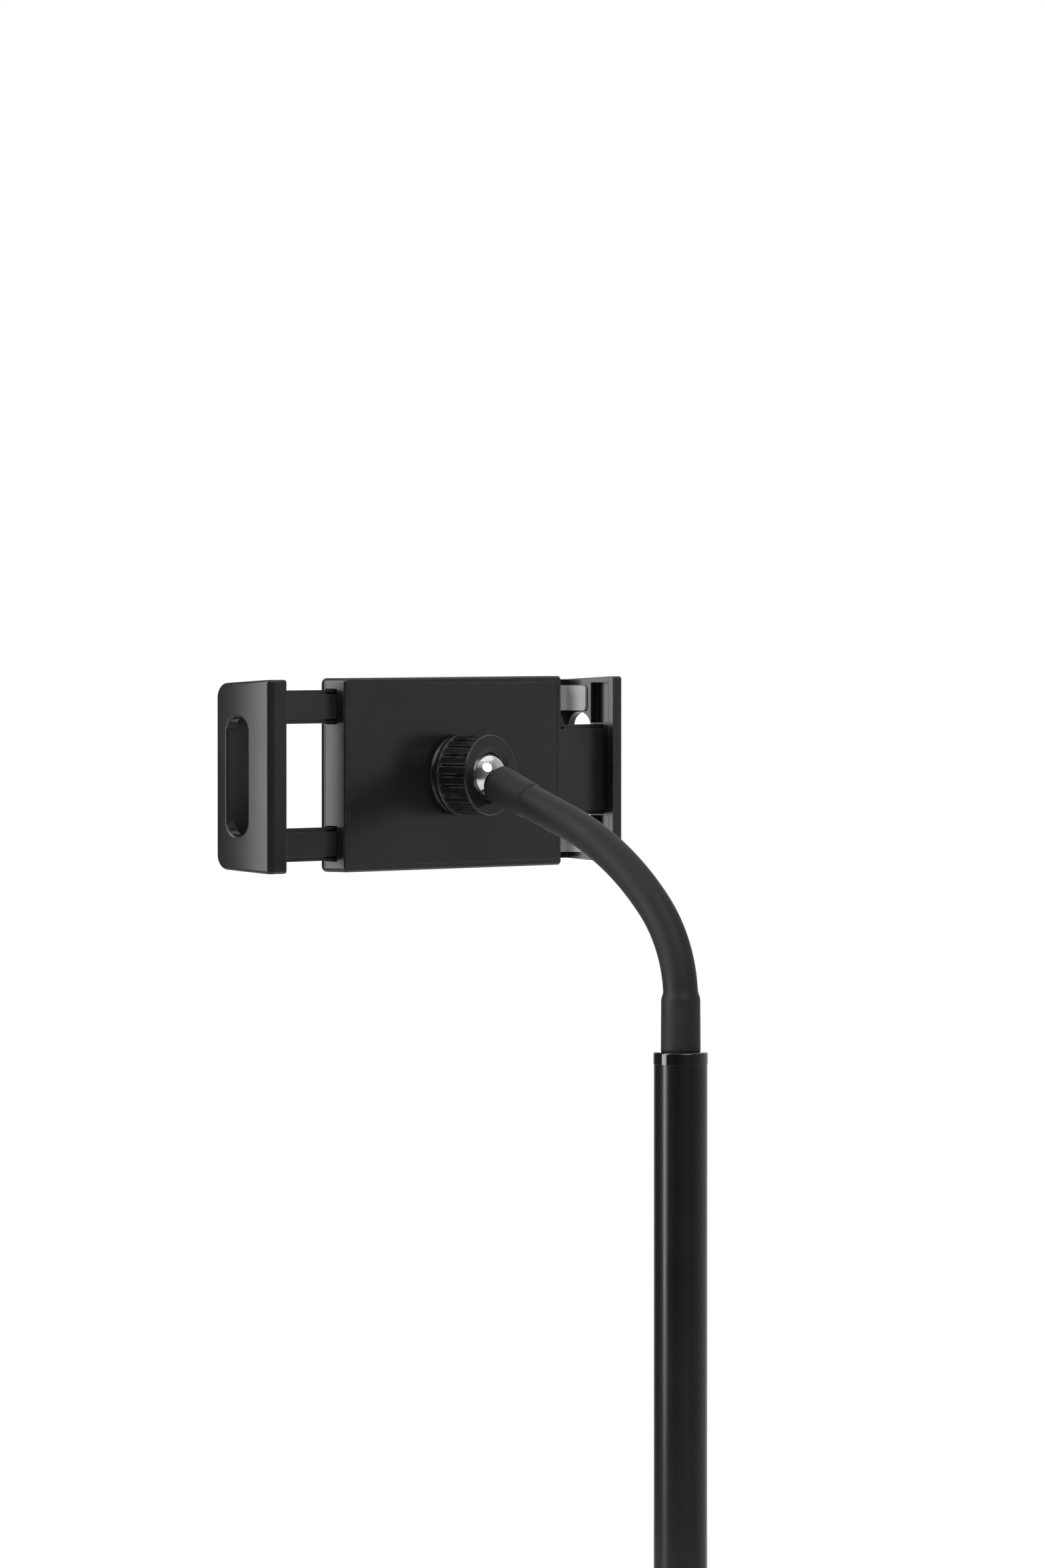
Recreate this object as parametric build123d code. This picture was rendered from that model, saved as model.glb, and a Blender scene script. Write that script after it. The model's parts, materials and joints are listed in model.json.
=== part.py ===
from build123d import *
import os
from math import cos, radians, sin, sqrt, tan

# A desk stand with a clamp head: a round weighted base, a straight pole, a short
# gooseneck, a ball joint and a head with two jaws that slide apart on rails.
# Millimetres, +Z up. The origin is the centre of the base's underside, on the pole's
# axis. The head's front faces -Y, and the jaws slide along X.
# Right and left are those of a user who faces that front, so the right jaw is at +X.

# Clearances shared by every piece
running_gap = 0.05
sliding_gap = 0.3
cut_overrun = 5.0

# Base
base_diameter = 200.0
base_thickness = 10.0
base_edge_radius = 4.0
base_lower_chamfer = 1.0
foot_pad_thickness = 2.0
foot_pad_margin = 3.0
bolt_diameter = 8.0
bolt_head_diameter = 14.0
bolt_head_height = 4.2
bolt_socket_width = 5.0
bolt_socket_depth = 2.5
bolt_insert_depth = 16.0
washer_diameter = 18.0
washer_thickness = 1.5
head_recess_depth = 0.6

# Pole
pole_diameter = 18.5
pole_wall = 1.5
pole_length = 300.0
collar_diameter = 34.0
collar_height = 11.0
collar_edge_radius = 3.0
insert_length = 24.0
cap_diameter = 18.9
cap_height = 4.3
cap_edge_radius = 0.7
cap_plug_length = 16.0

# Gooseneck: a rise in line with the pole, a tight bend, a wide bend and a straight end
neck_rise = 17.8
tight_bend_radius = 50.0
tight_bend_angle = 40.0
tight_bend_joint_count = 3
wide_bend_radius = 100.0
wide_bend_angle = 28.0
wide_bend_joint_count = 4
ball_reach = 89.4
sleeve_diameter = 12.0
sleeve_wall = 1.35
lower_cuff_base_diameter = 13.7
lower_cuff_top_diameter = 13.5
upper_cuff_end_diameter = 13.8
upper_cuff_inner_diameter = 12.7
cuff_taper_length = 3.0
cuff_edge_radius = 1.0
ferrule_diameter = 10.8
ferrule_spigot_diameter = 9.6
ferrule_spigot_length = 13.0
ferrule_core_depth = 9.0
upper_ferrule_length = 15.0
core_diameter = 7.8
core_nub_radius = 2.6
core_neck_radius = 1.7
core_lower_gap = 0.3
core_upper_gap = 1.7

# Ball joint, whose socket points along Y at the back of the head
ball_radius = 8.5
ball_clearance = 0.3
ball_bore_end = 0.5
ball_stud_radius = 2.5
ball_stud_end_gap = 0.5
ball_stud_root_length = 4.0
neck_start = 7.6
nut_face_offset = 4.4
nut_diameter = 28.3
nut_length = 14.9
nut_band_length = 2.7
nut_groove_width = 0.7
nut_groove_depth = 0.5
nut_back_radius = 0.5
nut_rim_chamfer = 0.55
nut_mouth_radius = 9.9
nut_lip_offset = 3.7
nut_step_offset = 0.2
flute_count = 24
flute_width = 1.1
flute_depth = 0.75
boss_diameter = 24.4
boss_end_offset = -0.5
boss_foot_radius = 1.0
seat_diameter = 20.6
seat_back_offset = -10.2
seat_rim_offset = -1.0

# Head housing
housing_width = 117.3
housing_height = 67.2
housing_depth = 12.35
housing_back_to_nut = 1.85
socket_drop = 0.6
front_cover_thickness = 3.2
front_edge_radius = 2.8
corner_radius = 1.4
back_edge_chamfer = 0.6
back_wall = 3.8
end_wall = 2.4
screw_boss_radius = 3.0
screw_end_margin = 10.65
screw_outer_place = 21.0
screw_inner_place = 10.0
screw_radius = 1.1
screw_length = 6.9
screw_head_radius = 2.2
screw_head_height = 1.3
front_pad_width = 12.0
front_pad_height = 54.0
front_pad_thickness = 2.0
front_pad_edge_radius = 0.5

# Rails: the right jaw's twin rails run above and below the left jaw's wide rail
twin_rail_inner = 18.0
twin_rail_outer = 29.5
wide_rail_half = 16.1
rail_thickness = 4.75
rail_inner_place = 2.65
rail_band_width = 1.45
rail_band_step = 0.9
rail_notch_length = 7.7
rail_notch_width = 0.65
rail_notch_depth = 1.2
twin_notch_cover = 3.6
wide_notch_cover = 0.4
rail_tongue_length = 7.0
rail_tongue_width = 6.0
rail_tongue_thickness = 1.4
rail_post_margin = 2.1
twin_spring_rise = 2.6

# Springs and their posts
spring_radius = 2.0
spring_wire = 0.7
spring_eye_radius = 2.3
spring_post_radius = 1.5
spring_post_end_margin = 6.15

# Jaws
right_grip = 92.25
left_grip = 86.25
jaw_wall = 5.45
jaw_height = 66.8
jaw_front_drop = 1.5
jaw_depth = 27.0
jaw_crown = 2.3
jaw_back_behind_housing = 1.05
jaw_lip_length = 8.8
jaw_lip_thickness = 4.7
jaw_flange_thickness = 2.2
right_flange_overhang = 2.65
left_flange_overhang = 0.8
jaw_back_edge_radius = 2.3
jaw_rim_radius = 1.0
jaw_tip_radius = 0.9
jaw_front_corner_radius = 5.2
jaw_back_corner_radius = 1.2
jaw_pocket_depth = 3.7
jaw_pocket_height_margin = 2.4
right_jaw_rib_width = 3.8
left_jaw_rib_width = 5.8
jaw_socket_wall = 0.5
slot_width = 10.35
slot_height = 41.0
slot_centre_from_back = 16.3
slot_edge_radius = 0.7
pad_proud = 0.8
pad_inset = 0.7
pad_lower_edge = 20.9
pad_upper_edge = 29.95
pad_back_from_back = 12.9
lip_pad_proud = 0.8
lip_pad_inset = 0.6
pad_tip_margin = 1.0
pad_corner_radius = 1.3

# Heights and radii that follow
foot_top = foot_pad_thickness
base_top = foot_top + base_thickness
pole_top = base_top + pole_length
cap_top = pole_top + cap_height
pole_radius = pole_diameter / 2
tube_bore_radius = pole_radius - pole_wall
bolt_radius = bolt_diameter / 2
washer_bottom = foot_top + head_recess_depth + bolt_head_height
washer_top = washer_bottom + washer_thickness
ferrule_radius = ferrule_diameter / 2
spigot_radius = ferrule_spigot_diameter / 2
core_radius = core_diameter / 2
sleeve_radius = sleeve_diameter / 2
sleeve_bore_radius = sleeve_radius - sleeve_wall
cup_radius = core_nub_radius + sliding_gap
socket_radius = ball_radius + ball_clearance

# Gooseneck route in the plane X = 0, as points (y, z) and lean angles from upright
bend_total = tight_bend_angle + wide_bend_angle
bend_start = cap_top + neck_rise


def ahead(angle):
    """Unit direction (y, z) of a route that leans forward by an angle in degrees."""
    return -sin(radians(angle)), cos(radians(angle))


def along(point, angle, distance):
    """The point a distance further along a lean direction."""
    step = ahead(angle)
    return point[0] + distance * step[0], point[1] + distance * step[1]


def arc_end(point, angle, turn, radius):
    """Where an arc that starts at a lean angle and leans further by turn ends."""
    centre_y = point[0] - radius * cos(radians(angle))
    centre_z = point[1] - radius * sin(radians(angle))
    last = radians(angle + turn)
    return centre_y + radius * cos(last), centre_z + radius * sin(last)


tight_start = (0, bend_start)
wide_start = arc_end(tight_start, 0, tight_bend_angle, tight_bend_radius)
straight_start = arc_end(wide_start, tight_bend_angle, wide_bend_angle, wide_bend_radius)
straight_length = (ball_reach + straight_start[0]) / sin(radians(bend_total))
ball_y, ball_z = along(straight_start, bend_total, straight_length)

# Depths along Y at the head
nut_face_y = ball_y + nut_face_offset
nut_back_y = nut_face_y - nut_length
housing_back_y = nut_back_y - housing_back_to_nut
housing_front_y = housing_back_y - housing_depth
cover_split_y = housing_front_y + front_cover_thickness
inner_floor_y = housing_back_y - back_wall
rail_back_y = inner_floor_y - sliding_gap
rail_front_y = rail_back_y - rail_thickness
pad_face_y = housing_front_y - front_pad_thickness
jaw_back_y = housing_back_y + jaw_back_behind_housing
jaw_front_y = jaw_back_y - jaw_depth
spring_y = (inner_floor_y + cover_split_y) / 2
head_z = ball_z + socket_drop
housing_half = housing_width / 2
screw_place_x = housing_half - screw_end_margin
spring_post_x = housing_half - spring_post_end_margin
twin_rail_middle = (twin_rail_inner + twin_rail_outer) / 2
lane_wall_inner = wide_rail_half + sliding_gap
lane_wall_outer = twin_rail_inner - sliding_gap


def ring(outer_radius, inner_radius, low, high):
    """A plain tube about Z between two heights, or a disc if the bore is zero."""
    profile = Pos((outer_radius + inner_radius) / 2, (low + high) / 2) * Rectangle(
        outer_radius - inner_radius, high - low
    )
    return revolve(Plane.XZ * profile, Axis.Z)


def turned(points):
    """A solid of revolution about Z from an outline of (radius, height) points."""
    outline = make_face(Polyline(*points, close=True))
    return revolve(Plane.XZ * outline, Axis.Z)


def block(x_low, x_high, y_low, y_high, z_low, z_high):
    """A box between limits, with z measured from the head's middle height."""
    size = Box(abs(x_high - x_low), abs(y_high - y_low), abs(z_high - z_low))
    return Pos((x_low + x_high) / 2, (y_low + y_high) / 2, head_z + (z_low + z_high) / 2) * size


def neck_frame(point, angle):
    """A frame on the route: local Z runs on towards the head, local X is X."""
    return Location((0, point[0], point[1]), (angle, 0, 0))


def socket_frame():
    """A frame at the ball's centre whose Z points backwards, out of the socket."""
    return Location((0, ball_y, ball_z), (-90, 0, 0))


def post(x, z, radius, y_low, y_high):
    """A round post parallel to Y, with z measured from the head's middle height."""
    place = Location((x, (y_low + y_high) / 2, head_z + z), (90, 0, 0))
    return place * Cylinder(radius, abs(y_high - y_low))


# Base and pole


def foot_pad():
    """The soft sheet under the base."""
    return ring(base_diameter / 2 - foot_pad_margin, 0, 0, foot_top)


def base_plate():
    """The round weighted plate, counterbored from below for the bolt and washer."""
    plate = ring(base_diameter / 2, bolt_radius + sliding_gap, foot_top, base_top)
    outer = plate.edges().filter_by(GeomType.CIRCLE).sort_by(SortBy.RADIUS)[-2:].sort_by(Axis.Z)
    plate = fillet(outer[-1], base_edge_radius)
    outer = plate.edges().filter_by(GeomType.CIRCLE).group_by(Axis.Z)[0].sort_by(SortBy.RADIUS)
    plate = chamfer(outer[-1], base_lower_chamfer)
    return plate - ring(washer_diameter / 2 + sliding_gap, 0, foot_top - cut_overrun, washer_top)


def base_bolt():
    """A low-head socket screw that holds the pole down."""
    head_bottom = foot_top + head_recess_depth
    head = ring(bolt_head_diameter / 2, 0, head_bottom, washer_bottom)
    shank = ring(bolt_radius, 0, washer_bottom, base_top + bolt_insert_depth)
    key = extrude(Plane.XY * RegularPolygon(bolt_socket_width / 2, 6, major_radius=False), bolt_socket_depth)
    return head + shank - Pos(0, 0, head_bottom) * key


def base_washer():
    return ring(washer_diameter / 2, bolt_radius + running_gap, washer_bottom, washer_top)


def base_collar():
    """The turned collar round the pole's foot, with a rounded shoulder."""
    collar = ring(collar_diameter / 2, pole_radius + running_gap, base_top, base_top + collar_height)
    rims = collar.edges().filter_by(GeomType.CIRCLE).group_by(Axis.Z)[-1].sort_by(SortBy.RADIUS)
    return fillet(rims[-1], collar_edge_radius)


def pole_insert():
    """The threaded plug in the pole's foot."""
    plug = ring(tube_bore_radius - running_gap, 0, base_top, base_top + insert_length)
    hole_top = base_top + bolt_insert_depth + sliding_gap
    return plug - ring(bolt_radius + running_gap, 0, base_top - cut_overrun, hole_top)


def pole_tube():
    return ring(pole_radius, tube_bore_radius, base_top, pole_top)


def pole_cap():
    """The glossy ring on top of the pole, with a plug inside the tube."""
    cap = ring(cap_diameter / 2, 0, pole_top, cap_top)
    cap = fillet(cap.edges().group_by(Axis.Z)[-1], cap_edge_radius)
    cap += ring(tube_bore_radius - running_gap, 0, pole_top - cap_plug_length, pole_top)
    spigot_bottom = cap_top - ferrule_spigot_length - sliding_gap
    return cap - ring(spigot_radius + running_gap, 0, spigot_bottom, cap_top + cut_overrun)


# Gooseneck


def lower_ferrule():
    """The metal end that turns in the pole cap and grips the core."""
    body = ring(ferrule_radius, 0, cap_top, cap_top + neck_rise)
    body += ring(spigot_radius, 0, cap_top - ferrule_spigot_length, cap_top)
    core_bottom = cap_top + neck_rise - ferrule_core_depth
    return body - ring(core_radius, 0, core_bottom, cap_top + neck_rise + cut_overrun)


def bend(point, angle, turn, radius, tube_radius):
    """A round bar bent forward in the plane X = 0 from a point on the route."""
    centre = (0, point[0] - radius * cos(radians(angle)), point[1] - radius * sin(radians(angle)))
    section = neck_frame(point, angle) * Circle(tube_radius)
    return revolve(section, Axis(centre, (1, 0, 0)), turn)


def neck_bar(tube_radius, rise_start, end_gap):
    """A bar along the whole route, from a height to a distance short of the ball."""
    bar = ring(tube_radius, 0, rise_start, bend_start)
    bar += bend(tight_start, 0, tight_bend_angle, tight_bend_radius, tube_radius)
    bar += bend(wide_start, tight_bend_angle, wide_bend_angle, wide_bend_radius, tube_radius)
    end = ring(tube_radius, 0, 0, straight_length - end_gap)
    return bar + neck_frame(straight_start, bend_total) * end


def gooseneck_sleeve():
    """The rubber cover, one moulding from the cap to the ball, thicker over the ferrules."""
    base, top = lower_cuff_base_diameter / 2, lower_cuff_top_diameter / 2
    taper_end = sleeve_radius - sleeve_wall / 4
    lower = turned([
        (0, cap_top),
        (base, cap_top),
        (top, bend_start),
        (taper_end, bend_start + cuff_taper_length),
        (0, bend_start + cuff_taper_length),
    ])
    rim = upper_cuff_end_diameter / 2
    cuff_length = upper_ferrule_length
    upper = turned([
        (0, 0),
        (rim, 0),
        (upper_cuff_inner_diameter / 2, -cuff_length),
        (sleeve_radius, -cuff_length - cuff_taper_length),
        (0, -cuff_length - cuff_taper_length),
    ])
    upper = fillet(upper.edges().group_by(Axis.Z)[-1], cuff_edge_radius)
    end_point = along(straight_start, bend_total, straight_length - neck_start)
    sleeve = neck_bar(sleeve_radius, cap_top, neck_start + cuff_length)
    sleeve = sleeve + lower + neck_frame(end_point, bend_total) * upper
    sleeve -= neck_bar(sleeve_bore_radius, cap_top - cut_overrun, neck_start)
    sleeve -= ring(ferrule_radius, 0, cap_top - cut_overrun, bend_start)
    ferrule_room = ring(ferrule_radius, 0, -cuff_length, cut_overrun)
    return sleeve - neck_frame(end_point, bend_total) * ferrule_room


def joint_points():
    """Corners of the straight links that touch the bends, as ((y, z), lean after it)."""
    corners = []
    bends = (
        (tight_start, 0, tight_bend_angle, tight_bend_radius, tight_bend_joint_count),
        (wide_start, tight_bend_angle, wide_bend_angle, wide_bend_radius, wide_bend_joint_count),
    )
    for start, lean, turn, radius, count in bends:
        step = turn / count
        reach = radius * tan(radians(step / 2))
        point = start
        for index in range(count):
            corner = along(point, lean + index * step, reach)
            point = along(corner, lean + (index + 1) * step, reach)
            corners.append((corner, lean + (index + 1) * step))
    return corners


def link(length, has_cup, has_nub):
    """One link of the core about Z: a cup round the nub below it, and its own nub."""
    body = ring(core_radius, 0, core_lower_gap, length - core_upper_gap if has_nub else length)
    if has_cup:
        body -= Sphere(cup_radius)
    if has_nub:
        body += ring(core_neck_radius, 0, length - core_upper_gap - core_neck_radius, length)
        body += Pos(0, 0, length) * Sphere(core_nub_radius)
    return body


def gooseneck_links():
    """The core as short links that stand for its wound steel, the first at the bottom."""
    corners = joint_points()
    first_start = (0, bend_start - ferrule_core_depth - core_lower_gap)
    starts = [(first_start, 0)] + corners
    ferrule_end = straight_length - neck_start - upper_ferrule_length + ferrule_core_depth
    last_end = along(straight_start, bend_total, ferrule_end)
    ends = [corner for corner, lean in corners] + [last_end]
    links = []
    for index, ((start, lean), end) in enumerate(zip(starts, ends)):
        length = sqrt((end[0] - start[0]) ** 2 + (end[1] - start[1]) ** 2)
        body = link(length, index > 0, index < len(ends) - 1)
        links.append(neck_frame(start, lean) * body)
    return links


def upper_ferrule():
    """The metal end under the upper cuff, hollowed where the ball sits close."""
    end = straight_length - neck_start
    body = ring(ferrule_radius, 0, end - upper_ferrule_length, end)
    core_top = end - upper_ferrule_length + ferrule_core_depth
    body -= ring(core_radius, 0, end - upper_ferrule_length - cut_overrun, core_top)
    stud_bottom = end + neck_start - ball_stud_root_length - socket_radius
    body -= ring(ball_stud_radius, 0, stud_bottom, end + cut_overrun)
    body -= Pos(0, 0, straight_length) * Sphere(socket_radius)
    return neck_frame(straight_start, bend_total) * body


# Ball joint


def ball_stud():
    """The pin that carries the ball on the gooseneck's end."""
    bottom = straight_length - ball_stud_root_length - socket_radius
    pin = ring(ball_stud_radius, 0, bottom, straight_length - ball_bore_end - ball_stud_end_gap)
    return neck_frame(straight_start, bend_total) * pin


def ball():
    """The chromed ball, bored for its stud."""
    body = Sphere(ball_radius)
    body -= ring(ball_stud_radius + running_gap, 0, -ball_radius - cut_overrun, -ball_bore_end)
    return neck_frame((ball_y, ball_z), bend_total) * body


def ball_seat():
    """The plastic cup behind the ball, round in the socket's bore."""
    body = ring(seat_diameter / 2, 0, seat_back_offset, seat_rim_offset)
    return socket_frame() * (body - Sphere(socket_radius))


def clamp_nut():
    """The fluted ring nut that draws the ball into its seat."""
    outer = nut_diameter / 2
    back = nut_face_offset - nut_length
    flute_end = back + nut_band_length
    lip_radius = sqrt(socket_radius**2 - nut_lip_offset**2)
    body = turned([
        (0, back),
        (outer - nut_back_radius, back),
        (outer, back + nut_back_radius),
        (outer, flute_end - nut_groove_width),
        (outer - nut_groove_depth, flute_end - nut_groove_width),
        (outer - nut_groove_depth, flute_end),
        (outer, flute_end),
        (outer, nut_face_offset - nut_rim_chamfer),
        (outer - nut_rim_chamfer, nut_face_offset),
        (nut_mouth_radius, nut_face_offset),
        (lip_radius, nut_lip_offset),
        (0, nut_lip_offset),
    ])
    body -= ring(boss_diameter / 2 + running_gap, 0, back - cut_overrun, nut_step_offset)
    body -= Sphere(socket_radius)
    flute_top = nut_face_offset + cut_overrun
    flute = Box(flute_depth + cut_overrun, flute_width, flute_top - flute_end)
    flute = Pos(0, 0, (flute_end + flute_top) / 2) * flute
    reach = outer - flute_depth + (flute_depth + cut_overrun) / 2
    body -= PolarLocations(reach, flute_count) * flute
    return socket_frame() * body


# Head housing


def inner_lane(x_low, x_high, z_low, z_high):
    """Room for a rail, open to the front cover."""
    return block(x_low, x_high, cover_split_y - cut_overrun, inner_floor_y, z_low, z_high)


def cover_outline(y_low, y_high):
    """The housing's outer block between two depths, with small corners seen from behind."""
    body = block(-housing_half, housing_half, y_low, y_high, -housing_height / 2, housing_height / 2)
    return fillet(body.edges().filter_by(Axis.Y), corner_radius)


def screw_places():
    """Where the four cover screws stand, as (x, z) from the head's middle."""
    places = []
    for side in (-1, 1):
        places.append((-screw_place_x, side * screw_outer_place))
        places.append((screw_place_x, side * screw_inner_place))
    return places


def spring_lanes():
    """Each spring's post side and height: the twin rails' two and the wide rail's one."""
    twin = twin_rail_middle + twin_spring_rise
    return ((-spring_post_x, twin), (-spring_post_x, -twin), (spring_post_x, 0))


def back_cover():
    """The deep moulding behind: rail lanes inside, the ball socket's boss outside."""
    body = cover_outline(cover_split_y, housing_back_y)
    body = chamfer(body.faces().sort_by(Axis.Y)[-1].edges(), back_edge_chamfer)
    lane_end = housing_half - end_wall
    mouth = housing_half + cut_overrun
    top = twin_rail_outer + sliding_gap
    body -= inner_lane(-lane_end, mouth, lane_wall_outer, top)
    body -= inner_lane(-lane_end, mouth, -top, -lane_wall_outer)
    body -= inner_lane(-mouth, lane_end, -lane_wall_inner, lane_wall_inner)
    for x, z in screw_places():
        boss = post(x, z, screw_boss_radius, cover_split_y, inner_floor_y)
        body += boss - post(x, z, screw_radius + running_gap, cover_split_y, inner_floor_y)
    for x, z in spring_lanes():
        body += post(x, z, spring_post_radius, cover_split_y, inner_floor_y)
    foot = nut_back_y - housing_back_to_nut - ball_y
    boss = ring(boss_diameter / 2, 0, foot - back_wall / 2, boss_end_offset)
    flare = turned([
        (0, foot),
        (boss_diameter / 2 + boss_foot_radius, foot),
        (boss_diameter / 2, foot + boss_foot_radius),
        (0, foot + boss_foot_radius),
    ])
    body += socket_frame() * (boss + flare)
    seat_bore = ring(seat_diameter / 2 + running_gap, 0, seat_back_offset - running_gap, cut_overrun)
    return body - socket_frame() * seat_bore


def front_cover():
    """The flat moulding in front, its long edges rounded, with sunk screw holes."""
    body = cover_outline(housing_front_y, cover_split_y)
    front_edges = body.edges().filter_by(Axis.X).group_by(Axis.Y)[0]
    body = fillet(front_edges, front_edge_radius)
    head_seat = housing_front_y + screw_head_height
    for x, z in screw_places():
        body -= post(x, z, screw_radius + running_gap, head_seat - cut_overrun, cover_split_y + cut_overrun)
        body -= post(x, z, screw_head_radius + sliding_gap, housing_front_y - cut_overrun, head_seat)
    return body


def cover_screws():
    """The four screws that hold the covers together, under the front pads."""
    head_seat = housing_front_y + screw_head_height
    screws = []
    for x, z in screw_places():
        shank = post(x, z, screw_radius, head_seat, head_seat + screw_length)
        screws.append(shank + post(x, z, screw_head_radius, housing_front_y, head_seat))
    return Compound(children=screws)


def front_pad(side):
    """An upright soft strip on the head's front, for what the jaws hold to rest on."""
    pad = block(
        side * (screw_place_x - front_pad_width / 2),
        side * (screw_place_x + front_pad_width / 2),
        pad_face_y,
        housing_front_y,
        -front_pad_height / 2,
        front_pad_height / 2,
    )
    pad = fillet(pad.edges().filter_by(Axis.Y), front_pad_width / 2 - front_pad_edge_radius)
    return chamfer(pad.faces().sort_by(Axis.Y)[0].edges(), front_pad_edge_radius)


# Rails and springs


def rail(side, z_low, z_high, outer_x, tongue_z, notch_cover):
    """A flat rail with a raised middle, notches at the housing's mouth, and a spring post."""
    inner_x = side * rail_inner_place
    body = block(inner_x, outer_x, rail_front_y, rail_back_y, z_low, z_high)
    step_y = rail_back_y - rail_band_step
    notch_start = side * (housing_half - notch_cover)
    notch_end = notch_start + side * rail_notch_length
    notch_y = step_y - rail_notch_depth
    for edge_z, inward in ((z_low, 1), (z_high, -1)):
        middle_z = edge_z + inward * rail_band_width
        notch_z = middle_z - inward * rail_notch_width
        body -= block(inner_x - side * cut_overrun, outer_x + side * cut_overrun,
                      step_y, rail_back_y + cut_overrun, edge_z, middle_z)
        body -= block(notch_start, notch_end, notch_y, rail_back_y, notch_z, middle_z)
    tongue_x = inner_x - side * rail_tongue_length
    tongue_y = rail_front_y + rail_tongue_thickness
    half = rail_tongue_width / 2
    body += block(tongue_x, inner_x, rail_front_y, tongue_y, tongue_z - half, tongue_z + half)
    return body + post(rail_post_x(side), tongue_z, spring_post_radius, tongue_y, rail_back_y)


def rail_post_x(side):
    """Where a rail's spring post stands."""
    return side * (rail_inner_place - rail_tongue_length + rail_post_margin)


def spring(post_x, rail_x, z):
    """A close-wound tension spring between two posts, with an eye at each end."""
    side = 1 if rail_x > post_x else -1
    low, high = post_x + side * spring_eye_radius, rail_x - side * spring_eye_radius
    place = Location(((low + high) / 2, spring_y, head_z + z), (0, 90, 0))
    length = abs(high - low)
    coil = place * (Cylinder(spring_radius, length) - Cylinder(spring_radius - spring_wire, length))
    eye = Cylinder(spring_eye_radius + spring_wire / 2, spring_wire)
    eye -= Cylinder(spring_eye_radius - spring_wire / 2, spring_wire)
    for x in (post_x, rail_x):
        coil += Location((x, spring_y, head_z + z), (90, 0, 0)) * eye
    return coil


# Jaws


def side_outline(reach):
    """The jaw seen from the side, as a slab across X that is a little lower in front."""
    back_half = jaw_height / 2
    front_half = back_half - jaw_front_drop
    outline = Polyline(
        (jaw_front_y, head_z - front_half),
        (jaw_back_y, head_z - back_half),
        (jaw_back_y, head_z + back_half),
        (jaw_front_y, head_z + front_half),
        close=True,
    )
    slab = extrude(Plane.YZ * make_face(outline), reach, both=True)
    rims = slab.edges().filter_by(Axis.X).group_by(Axis.Y)
    slab = fillet(rims[0], jaw_front_corner_radius)
    rims = slab.edges().filter_by(Axis.X).filter_by(GeomType.LINE).group_by(Axis.Y)
    return fillet(rims[-1], jaw_back_corner_radius)


def finger_slot(outer_x, inner_x):
    """The oblong window in the jaw's side wall."""
    centre_y = jaw_back_y - slot_centre_from_back
    depth = outer_x - inner_x + cut_overrun
    place = Plane((inner_x - cut_overrun / 2, centre_y, head_z), x_dir=(0, 0, 1), z_dir=(1, 0, 0))
    return extrude(place * SlotOverall(slot_height, slot_width), depth)


def jaw_side_line(outer):
    """The jaw's outer side in plan, an arc that falls away towards the front."""
    return TangentArc((outer, jaw_back_y), (outer - jaw_crown, jaw_front_y), tangent=(0, -1))


def crowned_face(body):
    """The jaw's outer side, its largest curved face."""
    return body.faces().filter_by(GeomType.CYLINDER).sort_by(SortBy.AREA)[-1]


def jaw(side, grip, overhang, rib_width, rails):
    """A U-shaped jaw: side wall, front lip and back flange, with sockets for its rails."""
    wall = grip + pad_proud
    outer = wall + jaw_wall
    lip_end = wall - jaw_lip_length
    lip_inner_y = jaw_front_y + jaw_lip_thickness
    flange_y = jaw_back_y - jaw_flange_thickness
    inner_line = Polyline(
        (outer, jaw_back_y),
        (wall - overhang, jaw_back_y),
        (wall - overhang, flange_y),
        (wall, flange_y),
        (wall, lip_inner_y),
        (lip_end, lip_inner_y),
        (lip_end, jaw_front_y),
        (outer - jaw_crown, jaw_front_y),
    )
    plan = make_face([jaw_side_line(outer), *inner_line.edges()])
    tall = extrude(Plane.XY.offset(head_z - jaw_height / 2) * plan, jaw_height)
    outer_edges = tall.edges().filter_by(Axis.Z).group_by(Axis.X)[-1].sort_by(Axis.Y)
    tall = fillet(outer_edges[-1], jaw_back_edge_radius)
    lip_edges = tall.edges().filter_by(Axis.Z).group_by(Axis.X)[0]
    tall = fillet(lip_edges, jaw_tip_radius)
    body = tall & side_outline(outer + cut_overrun)
    rim = crowned_face(body).edges().sort_by(Axis.Y)[:-1]
    body = fillet(rim, jaw_rim_radius)
    body -= finger_slot(outer, wall)
    window_rim = crowned_face(body).inner_wires()[0].edges()
    body = fillet(window_rim, slot_edge_radius)
    pocket_end = wall + jaw_pocket_depth
    pocket_front = rail_back_y - rib_width
    pocket_top = jaw_height / 2 - jaw_pocket_height_margin
    gaps = pocket_gaps(rails, pocket_top)
    for low, high in gaps:
        body -= block(wall - sliding_gap, pocket_end, pocket_front, flange_y, low, high)
    for low, high in rails:
        body -= block(wall - sliding_gap, pocket_end, rail_front_y, rail_back_y, low, high)
    for low, high in pad_spans():
        body -= block(wall - sliding_gap, wall + pad_inset, lip_inner_y, pad_back_y(), low, high)
        body -= block(lip_end + pad_tip_margin, wall + pad_inset,
                      lip_inner_y - lip_pad_inset, lip_inner_y, low, high)
    if side < 0:
        body = mirror(body, Plane.YZ)
    return body


def pad_back_y():
    """The back edge of the jaw pads."""
    return jaw_back_y - pad_back_from_back


def pad_spans():
    """Heights of the upper and lower jaw pad from the head's middle."""
    return ((pad_lower_edge, pad_upper_edge), (-pad_upper_edge, -pad_lower_edge))


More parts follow.
